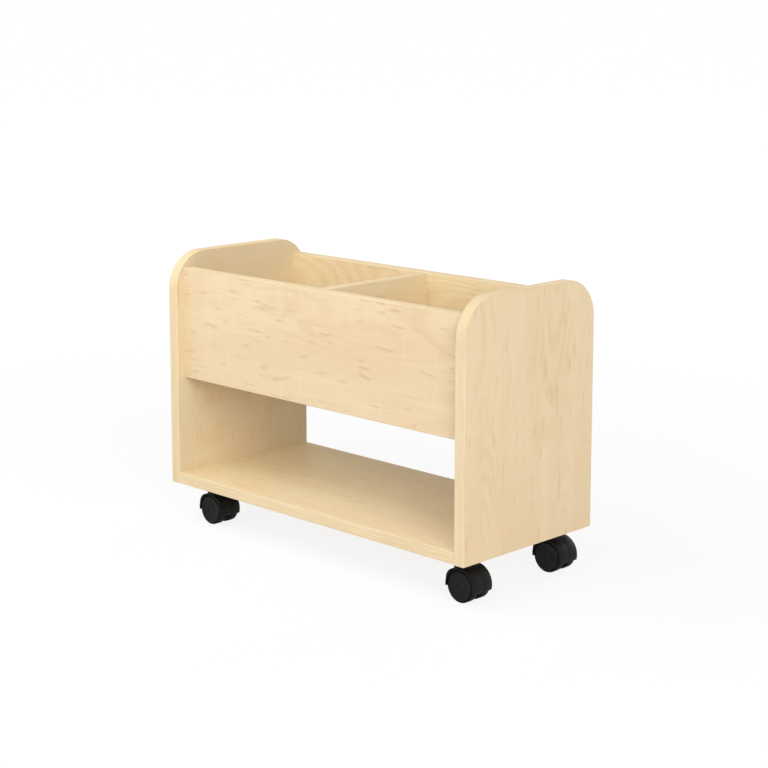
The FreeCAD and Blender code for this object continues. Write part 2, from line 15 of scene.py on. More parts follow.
import bmesh
import bpy
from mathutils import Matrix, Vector

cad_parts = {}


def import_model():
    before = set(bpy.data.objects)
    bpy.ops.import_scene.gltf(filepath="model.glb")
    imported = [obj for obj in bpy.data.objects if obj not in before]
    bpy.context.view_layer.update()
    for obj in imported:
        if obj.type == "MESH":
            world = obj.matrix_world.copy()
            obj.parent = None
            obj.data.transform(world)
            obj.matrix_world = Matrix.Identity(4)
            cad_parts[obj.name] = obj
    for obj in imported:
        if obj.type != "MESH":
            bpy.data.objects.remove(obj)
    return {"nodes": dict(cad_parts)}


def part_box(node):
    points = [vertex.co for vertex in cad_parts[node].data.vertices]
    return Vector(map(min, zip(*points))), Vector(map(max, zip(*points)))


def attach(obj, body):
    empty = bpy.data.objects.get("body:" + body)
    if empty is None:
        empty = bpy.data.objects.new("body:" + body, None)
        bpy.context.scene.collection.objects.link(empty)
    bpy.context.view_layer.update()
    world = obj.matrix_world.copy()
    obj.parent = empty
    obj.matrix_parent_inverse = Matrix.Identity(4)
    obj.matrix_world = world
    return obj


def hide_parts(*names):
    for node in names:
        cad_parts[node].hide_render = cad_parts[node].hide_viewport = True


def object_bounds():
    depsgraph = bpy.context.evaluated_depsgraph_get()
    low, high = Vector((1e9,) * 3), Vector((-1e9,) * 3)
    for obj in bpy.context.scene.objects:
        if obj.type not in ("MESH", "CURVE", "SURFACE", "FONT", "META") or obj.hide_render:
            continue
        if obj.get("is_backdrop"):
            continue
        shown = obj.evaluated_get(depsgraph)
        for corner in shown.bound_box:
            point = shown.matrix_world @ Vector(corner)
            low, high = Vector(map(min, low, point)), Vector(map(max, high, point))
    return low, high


LOG = logging.getLogger("book_browser_bin")
MM = 0.001
WHITE = (1.0, 1.0, 1.0, 1.0)
FULL_TURN = 2 * math.pi
QUARTER_TURN = math.pi / 2
# Two places nearer to each other than this are taken as one.
TOUCH = 1e-6
# Edges sharper than the first angle are rounded, and than the second one shaded as edges.
ROUNDED_ANGLE = math.radians(32)
SHADED_ANGLE = math.radians(34)

Material = bpy.types.Material
Piece = bpy.types.Object
Socket = bpy.types.NodeSocket
Tree = bpy.types.NodeTree
Nodes = Mapping[str, Piece]
Ring = tuple[float, float]


class Axis(Enum):
    """A direction of the frame, as its place in a vector."""

    X = 0
    Y = 1
    Z = 2


class Wheel(Enum):
    """The two wheels of a caster, with the way that each one's outer face looks along Y."""

    FRONT = -1
    REAR = 1


class Element(Enum):
    """What is picked in edit mode, as the name of its list in a mesh."""

    FACE = "faces"
    EDGE = "edges"


class Combining(Enum):
    """How a second shape changes a piece, in the modifier's word."""

    JOIN = "UNION"
    CUT = "DIFFERENCE"


# Materials -------------------------------------------------------------------------------


def linear(colour: str) -> tuple[float, float, float, float]:
    """Turn an sRGB hex value such as #F0D8AF into linear light.

    Args:
        colour: Six hex digits after a hash.

    Returns:
        Red, green, blue and an alpha of one.
    """
    shares = [int(colour[start:start + 2], 16) / 255 for start in (1, 3, 5)]
    # The curve of the sRGB standard: straight near black, and a power above.
    red, green, blue = (c / 12.92 if c <= 0.04045 else ((c + 0.055) / 1.055) ** 2.4 for c in shares)
    return red, green, blue, 1.0


def add_node(tree: Tree, kind: str, inputs: Mapping[str | int, Any] | None = None,
             **settings: Any) -> bpy.types.Node:
    """Add a node with its settings, its input values and its links.

    Args:
        tree: The node tree that gets the node.
        kind: Blender's name of the kind, without ShaderNode in front.
        inputs: What each input holds, by name or number: a value, or a socket to link.
        **settings: Properties of the node itself.

    Returns:
        The new node.
    """
    made = tree.nodes.new("ShaderNode" + kind)
    for name, setting in settings.items():
        setattr(made, name, setting)
    for name, given in (inputs or {}).items():
        if isinstance(given, Socket):
            tree.links.new(given, made.inputs[name])
        else:
            made.inputs[name].default_value = given
    return made


def new_material(name: str) -> tuple[Material, Tree]:
    """Start a material with an empty node tree.

    Args:
        name: The real material's name.

    Returns:
        The material and its tree.
    """
    material = bpy.data.materials.new(name)
    material.use_nodes = True
    material.node_tree.nodes.clear()
    return material, material.node_tree


def close_material(tree: Tree, surface: Mapping[str | int, Any]) -> None:
    """End a material's tree with one Principled shader that has the given inputs."""
    shader = add_node(tree, "BsdfPrincipled", surface)
    add_node(tree, "OutputMaterial", {"Surface": shader.outputs["BSDF"]})


def tint(tree: Tree, under: Any, over: str, share: Socket, strength: float) -> Socket:
    """Lay a colour over another by a share.

    Args:
        tree: The tree that gets the nodes.
        under: The colour below, a value or a socket.
        over: The hex colour on top.
        share: Where the colour lies.
        strength: How much of it shows where the share is 1.

    Returns:
        The mixed colour's socket.
    """
    weight = add_node(tree, "Math", {0: share, 1: strength}, operation="MULTIPLY")
    # This node has sockets of one name for each kind of data, so those for colours go by number.
    mixed = add_node(tree, "Mix", {0: weight.outputs[0], 6: under, 7: linear(over)},
                     data_type="RGBA")
    return mixed.outputs[2]


@dataclass(frozen=True)
class Field:
    """A noise field of a real size, eased into a share from 0 to 1.

    Attributes:
        along_mm: Size of its marks along the grain.
        across_mm: Their size across the grain.
        low: Noise value where the share leaves 0.
        high: Noise value where it reaches 1.
        detail: Octaves of the noise.
    """

    along_mm: float
    across_mm: float
    low: float
    high: float
    detail: float = 1.0

    def raw(self, tree: Tree, grain: Axis) -> Socket:
        """The noise itself.

        Args:
            tree: The tree that gets the nodes.
            grain: The axis along which the marks run.

        Returns:
            The noise value's socket.
        """
        place = add_node(tree, "TexCoord").outputs["Object"]
        scale = [1 / (MM * (self.along_mm if each is grain else self.across_mm)) for each in Axis]
        scaled = add_node(tree, "Mapping", {"Vector": place, "Scale": scale})
        noise = add_node(tree, "TexNoise", {"Vector": scaled.outputs[0], "Scale": 1.0,
                                            "Detail": self.detail})
        return noise.outputs[0]

    def share(self, tree: Tree, grain: Axis) -> Socket:
        """The noise as a share from 0 to 1, with its marks along the grain."""
        eased = add_node(tree, "MapRange", {"Value": self.raw(tree, grain), "From Min": self.low,
                                            "From Max": self.high},
                         interpolation_type="SMOOTHSTEP")
        return eased.outputs[0]


@dataclass(frozen=True)
class Mark:
    """A colour that lies over a ground where a noise field says so.

    Attributes:
        colour: The colour.
        strength: How much of it shows where the field's share is 1.
        where: The field.
    """

    colour: str
    strength: float
    where: Field

    def share(self, tree: Tree, grain: Axis) -> Socket:
        """Where the mark lies, from 0 to 1."""
        return self.where.share(tree, grain)

    def over(self, tree: Tree, under: Any, grain: Axis, figure: float = 1.0) -> Socket:
        """The mark laid over a colour, as strongly as the whole figure shows."""
        return tint(tree, under, self.colour, self.share(tree, grain), self.strength * figure)


@dataclass(frozen=True)
class ArchLines(Mark):
    """Contour lines of a long smooth field, which close into arches along the grain.

    Attributes:
        rings: The field whose contours the lines are.
        lines_per_unit: Number of lines over a change of one in that field.
        line_start: Height of the wave, from -1 to 1, where a line starts to show.
    """

    rings: Field = Field(520.0, 95.0, 0.0, 1.0, 0.0)
    lines_per_unit: float = 24.0
    line_start: float = -0.6

    def share(self, tree: Tree, grain: Axis) -> Socket:
        """Where the lines lie, weaker where their own field says so.

        Args:
            tree: The tree that gets the nodes.
            grain: The axis along which the arches run.

        Returns:
            The share's socket.
        """
        turns = self.lines_per_unit * FULL_TURN
        phase = add_node(tree, "Math", {0: self.rings.raw(tree, grain), 1: turns},
                         operation="MULTIPLY")
        wave = add_node(tree, "Math", {0: phase.outputs[0]}, operation="SINE")
        line = add_node(tree, "MapRange", {"Value": wave.outputs[0], "From Min": self.line_start,
                                           "From Max": 1.0}, interpolation_type="SMOOTHSTEP")
        held = add_node(tree, "Math", {0: line.outputs[0], 1: self.where.share(tree, grain)},
                        operation="MULTIPLY")
        return held.outputs[0]


@dataclass(frozen=True)
class MapleLaminate:
    """Maple-print melamine laminate, pressed on board with a satin plate.

    It gives the eye a pale cream-yellow ground, soft flat-sawn arches and streaks along the
    grain, a faint blush, short brown flecks and a broad, dull sheen. The sheet is the name of
    the boards cut from it, and its figure is the strength of all these marks. Boards that
    reach past inner_reach_mm from the case's middle get painted shade on their inner face: a
    darker, cooler ground that stands in for the shade inside the case.
    """

    sheet: str
    ground: str = "#E9D5B0"
    # Painted shade: the darker, cooler ground of the inner faces, for the shade inside the case.
    inner_painted_shade: str = "#DAC9A7"
    inner_reach_mm: float = 0.0
    figure: float = 1.0
    roughness: float = 0.52
    gloss: float = 0.30
    pore_depth_mm: float = 0.03
    pore_relief: float = 0.25
    streaks: Mark = Mark("#DCC196", 0.40, Field(430.0, 38.0, 0.40, 0.68, 2.0))
    arches: Mark = ArchLines("#D6B788", 0.44, Field(260.0, 80.0, 0.42, 0.64, 0.0))
    blush: Mark = Mark("#E5C6A4", 0.42, Field(210.0, 110.0, 0.44, 0.66, 1.0))
    curl: Mark = Mark("#F0E1C1", 0.14, Field(17.0, 120.0, 0.52, 0.72, 0.0))
    smudges: Mark = Mark("#B08658", 0.34, Field(44.0, 8.0, 0.60, 0.76, 1.5))
    flecks: Mark = Mark("#B08658", 0.36, Field(15.0, 2.6, 0.67, 0.80, 1.0))
    fibres: Mark = Mark("#DCC196", 0.32, Field(60.0, 1.5, 0.30, 0.70, 2.0))

    def make(self, grain: Axis) -> Material:
        """The material for boards whose grain runs along one axis.

        Args:
            grain: The axis along which the grain runs.

        Returns:
            The material.
        """
        name = f"maple_laminate_{self.sheet}_along_{grain.name.lower()}"
        material, tree = new_material(name)
        fibres = self.fibres.share(tree, grain)
        colour: Any = linear(self.ground)
        if self.inner_reach_mm:
            # Painted shade on the faces inside the reach.
            colour = tint(tree, colour, self.inner_painted_shade, self.painted_shade_share(tree), 1.0)
        for mark in (self.streaks, self.arches, self.blush, self.curl, self.smudges, self.flecks):
            colour = mark.over(tree, colour, grain, self.figure)
        colour = tint(tree, colour, self.fibres.colour, fibres,
                      self.fibres.strength * self.figure)
        relief = add_node(tree, "Bump", {"Height": fibres, "Strength": self.pore_relief,
                                         "Distance": self.pore_depth_mm * MM})
        close_material(tree, {"Base Color": colour, "Roughness": self.roughness,
                              "Specular IOR Level": self.gloss, "Normal": relief.outputs[0]})
        return material

    def painted_shade_share(self, tree: Tree) -> Socket:
        """Where the painted shade lies: 1 nearer to the case's middle than the inner reach.

        Args:
            tree: The tree that gets the nodes.

        Returns:
            The share's socket.
        """
        place = add_node(tree, "TexCoord").outputs["Object"]
        along = add_node(tree, "SeparateXYZ", {"Vector": place}).outputs["X"]
        away = add_node(tree, "Math", {0: along}, operation="ABSOLUTE").outputs[0]
        nearer = add_node(tree, "Math", {0: away, 1: self.inner_reach_mm * MM},
                          operation="LESS_THAN")
        return nearer.outputs[0]


@dataclass(frozen=True)
class MarkedWood:
    """A wood, or a print of it, whose marks lie along or across one axis.

    Attributes:
        name: The real material's name, up to that axis.
        ground: The colour under the marks.
        roughness: Roughness of the shader.
        gloss: Strength of its surface reflection, half for a common surface.
        marks: The marks, the topmost last.
    """

    name: str
    ground: str
    roughness: float
    gloss: float
    marks: tuple[Mark, ...]

    def make(self, axis: Axis) -> Material:
        """The material for pieces with one axis.

        Args:
            axis: The axis that the marks keep to.

        Returns:
            The material.
        """
        material, tree = new_material(f"{self.name}_{axis.name.lower()}")
        colour: Any = linear(self.ground)
        for mark in self.marks:
            colour = mark.over(tree, colour, axis)
        close_material(tree, {"Base Color": colour, "Roughness": self.roughness,
                              "Specular IOR Level": self.gloss})
        return material


# Maple-print plastic edge band, hot glued and trimmed with a radius cutter: a rim as dull and
# pale as the boards. Its marks are flat across the band, so that they show as fine lines
# along its length.
BAND = MarkedWood("maple_edge_band_across", "#E8D4AF", roughness=0.72, gloss=0.20, marks=(
    Mark("#DABE91", 0.40, Field(1.8, 95.0, 0.36, 0.66, 2.0)),
    Mark("#DABE91", 0.25, Field(60.0, 130.0, 0.40, 0.66, 1.0))))
# Turned beech dowel rod: pinkish brown, dull, with short dark flecks along the grain.
BEECH = MarkedWood("beech_along", "#D9B58C", roughness=0.62, gloss=0.50, marks=(
    Mark("#A97C52", 0.45, Field(6.0, 0.7, 0.52, 0.66, 1.0)),))


@dataclass(frozen=True)
class EvenSurface:
    """A plastic or a steel with cloudy patches, the same in all directions.

    Attributes:
        name: The real material's name.
        colour: Its colour.
        roughness: Roughness of the shader.
        patches: The patches, from handling or from the finish; the plastics' paler patches are also
            a painted sheen.
        spread: What is added to the roughness beside the patches, and on them.
        metallic: One for a metal.
        gloss: Strength of its surface reflection, half for a common surface.
        grit: The grit of a mould, with a painted highlight on its paler tops, drawn as coarse as it
            needs to show.
        grit_depth_mm: The grit's depth.
        grit_relief: Strength of its relief.
    """

    name: str
    colour: str
    roughness: float
    patches: Mark
    spread: tuple[float, float] = (-0.05, 0.08)
    metallic: float = 0.0
    gloss: float = 0.50
    grit: Mark | None = None
    grit_depth_mm: float = 0.02
    grit_relief: float = 0.5

    def make(self) -> Material:
        """The material.

        Returns:
            The material.
        """
        material, tree = new_material(self.name)
        # On the plastics the paler patches are handling wear with a painted sheen.
        patches = self.patches.share(tree, Axis.Z)
        colour = tint(tree, linear(self.colour), self.patches.colour, patches,
                      self.patches.strength)
        least, most = (self.roughness + change for change in self.spread)
        dull = add_node(tree, "MapRange", {"Value": patches, "To Min": least, "To Max": most})
        surface = {"Roughness": dull.outputs[0], "Metallic": self.metallic,
                   "Specular IOR Level": self.gloss}
        if self.grit:
            # Painted highlight: the grit's paler tops; its relief below is a real bump.
            grit = self.grit.share(tree, Axis.Z)
            colour = tint(tree, colour, self.grit.colour, grit, self.grit.strength)
            relief = add_node(tree, "Bump", {"Height": grit, "Strength": self.grit_relief,
                                             "Distance": self.grit_depth_mm * MM})
            surface["Normal"] = relief.outputs[0]
        close_material(tree, {"Base Color": colour, **surface})
        return material


# Nylon 6, spark-eroded mould: a soft dull black whose edges catch a thin grey light.
NYLON = EvenSurface("black_nylon_moulded", "#0F0E0D", 0.50, gloss=0.13,
                    # Paler patches: handling wear with a painted sheen.
                    patches=Mark("#161413", 0.5, Field(14.0, 14.0, 0.45, 0.70, 2.0)),
                    # The paler tops of the grit: a painted highlight.
                    grit=Mark("#161413", 0.25, Field(0.7, 0.7, 0.35, 0.65, 2.0)))
# Soft polyurethane, cast in a smooth mould: a deeper and duller black than the nylon.
TREAD = EvenSurface("black_polyurethane_tread", "#080707", 0.62, gloss=0.08,
                    # Paler patches: handling wear with a painted sheen.
                    patches=Mark("#0E0D0C", 0.5, Field(14.0, 14.0, 0.45, 0.70, 2.0)),
                    # The paler tops of the grit: a painted highlight.
                    grit=Mark("#0E0D0C", 0.25, Field(1.1, 1.1, 0.35, 0.65, 2.0)))
# Bright zinc plate on pressed steel: a cool light grey with cloudy patches.
ZINC = EvenSurface("bright_zinc_plate", "#C9CCCE", 0.30, spread=(-0.06, 0.08), metallic=1.0,
                   patches=Mark("#A9ADB2", 0.6, Field(6.0, 6.0, 0.38, 0.66, 3.0)))
# Black oiled spring steel: a dark grey with a low gloss.
SPRING = replace(ZINC, name="oiled_spring_steel", colour="#57585A", roughness=0.38,
                 patches=Mark("#3E3F41", 0.6, Field(3.0, 3.0, 0.38, 0.66, 3.0)))
# Drawn steel bar: a plain mid grey, smooth.
DRAWN = replace(ZINC, name="drawn_steel_bar", colour="#B9BBBD", roughness=0.24,
                patches=Mark("#9FA1A4", 0.6, Field(4.0, 4.0, 0.38, 0.66, 3.0)))


def dress(piece: Piece, material: Material) -> None:
    """Give a piece one material all over, and report it.

    Args:
        piece: A CAD node or a new piece.
        material: Its material.
    """
    if not piece.material_slots:
        piece.data.materials.append(material)
    for each in piece.material_slots:
        each.material = material
    LOG.info("dressed %s in %s", piece.name, material.name)


# Modelling -------------------------------------------------------------------------------


def add_piece(name: str, primitive: Callable[..., Any], **settings: Any) -> Piece:
    """Add a primitive at its size and place, and bring the place into its mesh.

    Args:
        name: The piece's name.
        primitive: The operator that adds it.
        **settings: The operator's settings.

    Returns:
        The new piece, at the origin and unturned.
    """
    bpy.ops.object.select_all(action="DESELECT")
    primitive(**settings)
    return settle(name)


def settle(name: str) -> Piece:
    """Name the active piece, and bring its place into its mesh.

    Args:
        name: The piece's name.

    Returns:
        The piece, at the origin and unturned.
    """
    piece = bpy.context.active_object
    piece.name = name
    piece.data.name = name
    bpy.ops.object.transform_apply(location=True, rotation=True, scale=True)
    return piece


def activate(piece: Piece) -> None:
    """Make a piece the only selected one, and the active one.

    Args:
        piece: The piece.
    """
    bpy.ops.object.select_all(action="DESELECT")
    piece.select_set(True)
    bpy.context.view_layer.objects.active = piece


@contextmanager
def editing(piece: Piece) -> Iterator[None]:
    """Edit mode on one piece, with nothing of it selected at the start.

    Args:
        piece: The piece.

    Yields:
        Nothing.
    """
    activate(piece)
    bpy.ops.object.mode_set(mode="EDIT")
    bpy.ops.mesh.select_mode(type="FACE")
    bpy.ops.mesh.select_all(action="DESELECT")
    yield
    bpy.ops.object.mode_set(mode="OBJECT")


def pick(piece: Piece, element: Element, wanted: Callable[[Any], bool]) -> None:
    """Select the faces or the edges that a test accepts, in edit mode.

    Args:
        piece: The piece in edit mode.
        element: What is picked.
        wanted: The test.
    """
    bpy.ops.mesh.select_mode(type=element.name)
    bpy.ops.mesh.select_all(action="DESELECT")
    shape = bmesh.from_edit_mesh(piece.data)
    for each in filter(wanted, getattr(shape, element.value)):
        each.select_set(True)
    bmesh.update_edit_mesh(piece.data)


def apply_modifier(piece: Piece, kind: str, **settings: Any) -> None:
    """Add a modifier to a piece and apply it.

    Args:
        piece: The piece.
        kind: The modifier's kind.
        **settings: Its settings.
    """
    activate(piece)
    modifier = piece.modifiers.new(kind.lower(), kind)
    for name, setting in settings.items():
        setattr(modifier, name, setting)
    bpy.ops.object.modifier_apply(modifier=modifier.name)


def combine(piece: Piece, tool: Piece, how: Combining) -> None:
    """Join a tool to a piece, or cut the piece with it, and remove the tool."""
    apply_modifier(piece, "BOOLEAN", operation=how.value, object=tool, solver="EXACT")
    bpy.data.objects.remove(tool, do_unlink=True)


def break_edges(piece: Piece, width_mm: float, steps: int = 2) -> None:
    """Round all sharp edges of a piece a little, as a mould or a tumbler does."""
    apply_modifier(piece, "BEVEL", width=width_mm * MM, segments=steps, limit_method="ANGLE",
                   angle_limit=ROUNDED_ANGLE, harden_normals=False)


def smooth(piece: Piece) -> None:
    """Shade a piece smooth, apart from its real edges."""
    activate(piece)
    bpy.ops.object.shade_smooth_by_angle(angle=SHADED_ANGLE)


def copy_to(piece: Piece, name: str, shift: Vector) -> Piece:
    """Copy a finished piece, with a mesh of its own, to another place.

    Args:
        piece: The piece to copy.
        name: The copy's name.
        shift: The way from the piece to the copy.

    Returns:
        The copy, at the origin and unturned.
    """
    activate(piece)
    bpy.ops.object.duplicate_move(TRANSFORM_OT_translate={"value": shift})
    return settle(name)


def quarter_arc(steps: int) -> list[float]:
    """The angles that part a quarter turn into equal steps, from its start to its end."""
    return [QUARTER_TURN * step / steps for step in range(steps + 1)]


def node_middle(node: str) -> Vector:
    """The middle of a CAD node's box."""
    low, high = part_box(node)
    return (low + high) / 2


@dataclass(frozen=True)
class Turning:
    """A piece turned about a line through a centre, ring by ring.

    Attributes:
        centre: A point on the line.
        line: The direction of the line, Y or Z.
        vertices: Points on each ring.
    """

    centre: Vector
    line: Axis
    vertices: int = 96

    def at(self, along: float) -> Vector:
        """A point of the line.

        Args:
            along: Its way from the centre along the line.

        Returns:
            The point.
        """
        point = self.centre.copy()
        point[self.line.value] += along
        return point

    def make(self, name: str, profile: Sequence[Ring], closed: bool = False) -> Piece:
        """Turn a profile: a circle is extruded from ring to ring and scaled on its way.

        Args:
            name: The piece's name.
            profile: The rings as (radius, place along the line).
            closed: Whether the last ring joins the first; otherwise both are filled.

        Returns:
            The turned piece, its faces outwards.
        """
        radius, along = profile[0]
        across_the_line = (QUARTER_TURN if self.line is Axis.Y else 0.0, 0.0, 0.0)
        piece = add_piece(name, bpy.ops.mesh.primitive_circle_add, vertices=self.vertices,
                          radius=radius, location=self.at(along), rotation=across_the_line,
                          fill_type="NOTHING")
        rings = list(profile[1:]) + ([profile[0]] if closed else [])
        with editing(piece):
            bpy.ops.mesh.select_mode(type="EDGE")
            bpy.ops.mesh.select_all(action="SELECT")
            if not closed:
                bpy.ops.mesh.edge_face_add()
                pick(piece, Element.EDGE, lambda edge: True)
            for wider, further in rings:
                self.next_ring(wider / radius, further - along, further)
                radius, along = wider, further
            if not closed:
                bpy.ops.mesh.edge_face_add()
            bpy.ops.mesh.select_all(action="SELECT")
            bpy.ops.mesh.remove_doubles(threshold=TOUCH)
            bpy.ops.mesh.normals_make_consistent(inside=False)
        return piece

    def next_ring(self, growth: float, step: float, further: float) -> None:
        """Extrude the selected ring along the line and scale it.

        Args:
            growth: The new radius over the old one.
            step: The way along the line.
            further: The new ring's place along the line.
        """
        way = Vector()
        way[self.line.value] = step
        bpy.ops.mesh.extrude_edges_move(TRANSFORM_OT_translate={"value": way})
        bpy.ops.transform.resize(value=(growth,) * 3, center_override=self.at(further))


# Case ------------------------------------------------------------------------------------


@dataclass(frozen=True)
class Case:
    """The boards with their edge bands and dowels, all of them CAD nodes that stay.

    Attributes:
        nodes: The frame's nodes.
        ends: The sheet of the two ends.
        front: The front panel's sheet.
        back: The back panel's sheet.
        inside: The sheet of the divider, the bin's floor and the shelf.
        band: The band of the boards above the shelf.
        shelf_band: The shelf's band, a paler copy of the band that paints light on the shelf's
            edges.
        dowel: The wood of all dowels.
    """

    nodes: Nodes
    # The ends' inner faces get painted shade, a darker ground inside the reach.
    ends: MapleLaminate = MapleLaminate("ends", ground="#E9D3AE", inner_reach_mm=312.0,
                                        figure=0.65)
    front: MapleLaminate = MapleLaminate("front")
    back: MapleLaminate = MapleLaminate("back", ground="#EDDCB3", figure=0.60)
    inside: MapleLaminate = MapleLaminate("inside", ground="#E9D8B1", figure=0.60)
    band: MarkedWood = BAND
    # Painted light: the shelf's bands are a paler copy of the band, so that its edges show
    # brighter.
    shelf_band: MarkedWood = replace(BAND, ground="#ECD8B3")
    dowel: MarkedWood = BEECH

    def dress(self) -> None:
        """Give every board and dowel wood along its grain, and every band one across it."""
        for finish, axis, names in (
                (self.ends, Axis.Z, ("left_side_panel", "right_side_panel")),
                (self.front, Axis.X, ("front_panel",)),
                (self.back, Axis.X, ("back_panel",)),
                (self.inside, Axis.X, ("bin_floor", "bottom_shelf")),
                (self.inside, Axis.Y, ("divider",)),
                (self.band, Axis.X, ("left_side_band", "right_side_band", "divider_top_band")),
                (self.band, Axis.Y, ("front_panel_top_band", "front_panel_bottom_band",
                                     "back_panel_top_band", "back_panel_bottom_band")),
                (self.shelf_band, Axis.Z, ("shelf_front_band", "shelf_back_band")),
                (self.dowel, Axis.X, ("left_dowels", "right_dowels")),
                (self.dowel, Axis.Y, ("divider_dowels",))):
            material = finish.make(axis)
            for name in names:
                dress(self.nodes[name], material)


# Casters ---------------------------------------------------------------------------------


@dataclass(frozen=True)
class WheelShape:
    """The details of a moulded wheel and its tread, beyond what the frame gives.

    Attributes:
        bevel_mm: Bevel round the outer face.
        rim_land_mm: Flat land inside the bevel.
        step_mm: Depth of the step inside the land.
        step_slope_mm: Width of that step's slope.
        dish_mm: Further depth of the disc at the hub boss.
        boss_mm: Radius of the raised hub boss.
        boss_slope_mm: Width of the boss's slope.
        cap_mm: Radius of the cap recess in the boss.
        cap_depth_mm: Depth of the recess.
        rim_mm: Thickness of the rim under the tread.
        disc_mm: Thickness of the outer disc.
        hub_mm: Radius of the hub.
        bore_mm: Radius of the blind bore.
        edge_mm: Rounding of the core's edges.
        shoulder_mm: Rounding of the tread's shoulders.
        shoulder_steps: Its number of faces.
        crown_mm: How far the tread's middle stands above its shoulders.
    """

    bevel_mm: float = 1.2
    rim_land_mm: float = 1.3
    step_mm: float = 0.5
    step_slope_mm: float = 0.4
    dish_mm: float = 0.35
    boss_mm: float = 8.6
    boss_slope_mm: float = 0.5
    cap_mm: float = 7.5
    cap_depth_mm: float = 0.6
    rim_mm: float = 2.5
    disc_mm: float = 3.0
    hub_mm: float = 6.0
    bore_mm: float = 3.08
    edge_mm: float = 0.22
    shoulder_mm: float = 1.2
    shoulder_steps: int = 4
    crown_mm: float = 0.12

    def core_profile(self, radius: float, outer: float, inner: float, hub_end: float,
                     side: Wheel) -> list[Ring]:
        """The core's section, from the middle of its outer face round to its bore.

        Args:
            radius: The core's radius.
            outer: Place of the outer face along the axle.
            inner: Place of the rim's inner end.
            hub_end: Place of the hub's inner end.
            side: Which of the two wheels.

        Returns:
            Rings as (radius, place along the axle).
        """
        def inside(depth_mm: float) -> float:
            """The place along the axle that lies a depth inside the outer face."""
            return outer - side.value * depth_mm * MM

        land = radius - self.bevel_mm * MM
        step = land - self.rim_land_mm * MM
        return [
            ((self.cap_mm - self.cap_depth_mm) * MM, inside(self.step_mm + self.cap_depth_mm)),
            (self.cap_mm * MM, inside(self.step_mm)),
            (self.boss_mm * MM, inside(self.step_mm)),
            ((self.boss_mm + self.boss_slope_mm) * MM, inside(self.step_mm + self.dish_mm)),
            (step - self.step_slope_mm * MM, inside(self.step_mm)),
            (step, inside(0.0)),
            (land, inside(0.0)),
            (radius, inside(self.bevel_mm)),
            (radius, inner),
            (radius - self.rim_mm * MM, inner),
            (radius - self.rim_mm * MM, inside(self.disc_mm)),
            (self.hub_mm * MM, inside(self.disc_mm)),
            (self.hub_mm * MM, hub_end),
            (self.bore_mm * MM, hub_end),
            (self.bore_mm * MM, inside(self.disc_mm)),
        ]

    def tread_profile(self, radius: float, seat: float, low: float, high: float) -> list[Ring]:
        """The tread's section, a closed ring with round shoulders and a slight crown.

        Args:
            radius: The wheel's radius.
            seat: Radius of the core under the tread.
            low: Place of one end along the axle.
            high: Place of the other end.

        Returns:
            Rings as (radius, place along the axle).
        """
        round_by = self.shoulder_mm * MM
        flank = radius - self.crown_mm * MM
        arc = [(flank - round_by * (1 - math.sin(turn)), round_by * (1 - math.cos(turn)))
               for turn in quarter_arc(self.shoulder_steps)]
        near_side = [(ring, low + place) for ring, place in arc]
        far_side = [(ring, high - place) for ring, place in reversed(arc)]
        return [(seat, low)] + near_side + [(radius, (low + high) / 2)] + far_side + [(seat, high)]


@dataclass(frozen=True)
class HoodShape:
    """The details of the moulded hood, beyond what the frame gives.

    Attributes:
        wall_mm: Thickness of the hood round the wheels.
        web_mm: Thickness of the web between them.
        crown_mm: How far the hood's middle stands above its rims.
        skirt_fall_mm: How much lower the skirt reaches at its trailing end.
        brow_reach_mm: How far the brow's upright face stands ahead of the axle.
        brow_rise_mm: Height of the brow's top above the axle.
        brow_round_mm: Radius between the two.
        brow_steps: Number of faces of that rounding.
        brow_inset_mm: How far the brow's ends lie inside the hood's rims.
        neck_mm: Radius of the neck's collar.
        edge_mm: Rounding of the hood's edges.
        edge_steps: Its number of faces.
        parting_mm: Width of the mould's parting line.
        parting_depth_mm: Its depth.
        collar_mm: Height of the collar at the neck's top.
        collar_step_mm: How far the collar stands out from the neck.
        pin_bore_mm: Radius of the kingpin's bore.
        pin_depth_mm: Its depth.
        drill_start_mm: How far above the neck its drill starts.
        axle_bore_mm: Radius of the axle's hole.
        drum_points: Points on each ring of the hood.
        bore_points: Points on each ring of a bore.
    """

    wall_mm: float = 2.0
    web_mm: float = 10.0
    crown_mm: float = 0.4
    skirt_fall_mm: float = 4.5
    brow_reach_mm: float = 27.4
    brow_rise_mm: float = 25.2
    brow_round_mm: float = 18.0
    brow_steps: int = 16
    brow_inset_mm: float = 0.8
    neck_mm: float = 9.6
    edge_mm: float = 0.45
    edge_steps: int = 3
    parting_mm: float = 0.5
    parting_depth_mm: float = 0.25
    collar_mm: float = 2.2
    collar_step_mm: float = 0.8
    pin_bore_mm: float = 4.08
    pin_depth_mm: float = 14.0
    drill_start_mm: float = 1.0
    axle_bore_mm: float = 3.05
    drum_points: int = 128
    bore_points: int = 48


